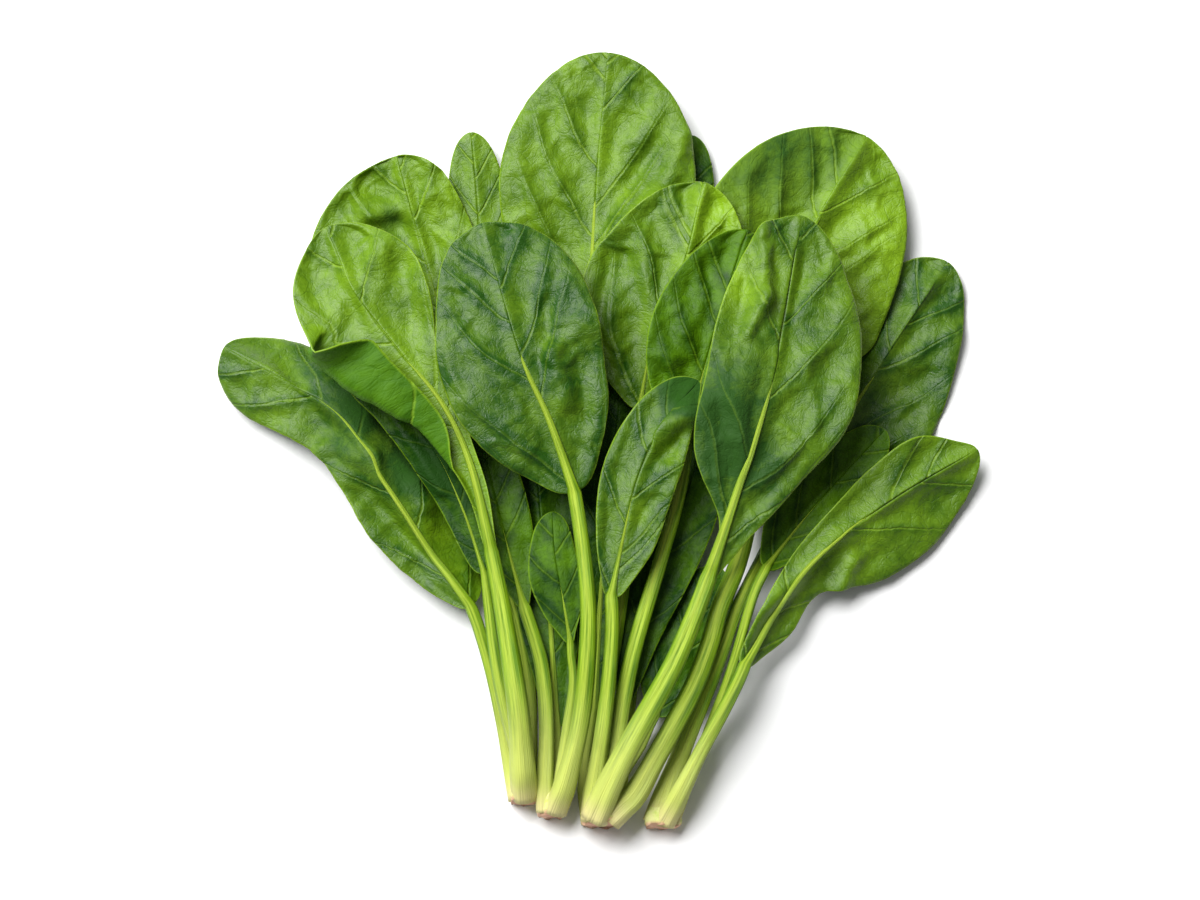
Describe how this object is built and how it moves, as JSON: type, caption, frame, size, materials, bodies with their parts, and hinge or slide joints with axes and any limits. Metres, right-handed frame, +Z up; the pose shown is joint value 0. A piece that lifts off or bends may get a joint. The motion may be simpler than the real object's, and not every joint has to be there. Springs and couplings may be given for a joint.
{
  "type": "spinach bunch",
  "caption": "Bunch of fresh spinach lying on a surface: oval puckered leaves on long pale stems that gather into cut crowns at one end.",
  "frame": {"origin": "middle of the bunch's plan, on the surface that it lies on", "axes": "+Y from the cut crowns to the leaf tips, +Z up from the surface, +X to the right when the crowns are nearest"},
  "size_m": [0.2724, 0.2848, 0.0416],
  "materials": {
    "leaf_dark": "satin, waxy and puckered, darker green",
    "leaf_bright": "satin, waxy and puckered, lighter green",
    "petiole": "satin, smooth and ribbed, pale yellow-green",
    "crown": "matt, moist cut face, pinkish brown"
  },
  "bodies": {
    "root": {"blade_back_centre": "leaf_bright", "blade_back_dark": "leaf_dark", "blade_back_left": "leaf_bright", "blade_back_right": "leaf_bright", "blade_bright_left": "leaf_bright", "blade_far_left": "leaf_dark", "blade_front_left": "leaf_dark", "blade_front_right": "leaf_bright", "blade_glossy_centre": "leaf_dark", "blade_inner_centre": "leaf_dark", "blade_inner_left": "leaf_dark", "blade_inner_right": "leaf_dark", "blade_left_under": "leaf_dark", "blade_low_centre": "leaf_dark", "blade_mid_right": "leaf_bright", "blade_right_low": "leaf_bright", "blade_right_side": "leaf_dark", "blade_right_under": "leaf_dark", "blade_small_back": "leaf_bright", "blade_small_centre": "leaf_dark", "blade_small_lower": "leaf_dark", "blade_stripe_left": "leaf_dark", "crown_centre": "crown", "crown_left": "crown", "crown_mid_left": "crown", "crown_right": "crown", "stem_back_centre": "petiole", "stem_back_dark": "petiole", "stem_back_left": "petiole", "stem_back_right": "petiole", "stem_bright_left": "petiole", "stem_far_left": "petiole", "stem_front_left": "petiole", "stem_front_right": "petiole", "stem_glossy_centre": "petiole", "stem_inner_centre": "petiole", "stem_inner_left": "petiole", "stem_inner_right": "petiole", "stem_left_under": "petiole", "stem_low_centre": "petiole", "stem_mid_right": "petiole", "stem_right_low": "petiole", "stem_right_side": "petiole", "stem_right_under": "petiole", "stem_small_back": "petiole", "stem_small_centre": "petiole", "stem_small_lower": "petiole", "stem_stripe_left": "petiole"}
  },
  "joints": []
}
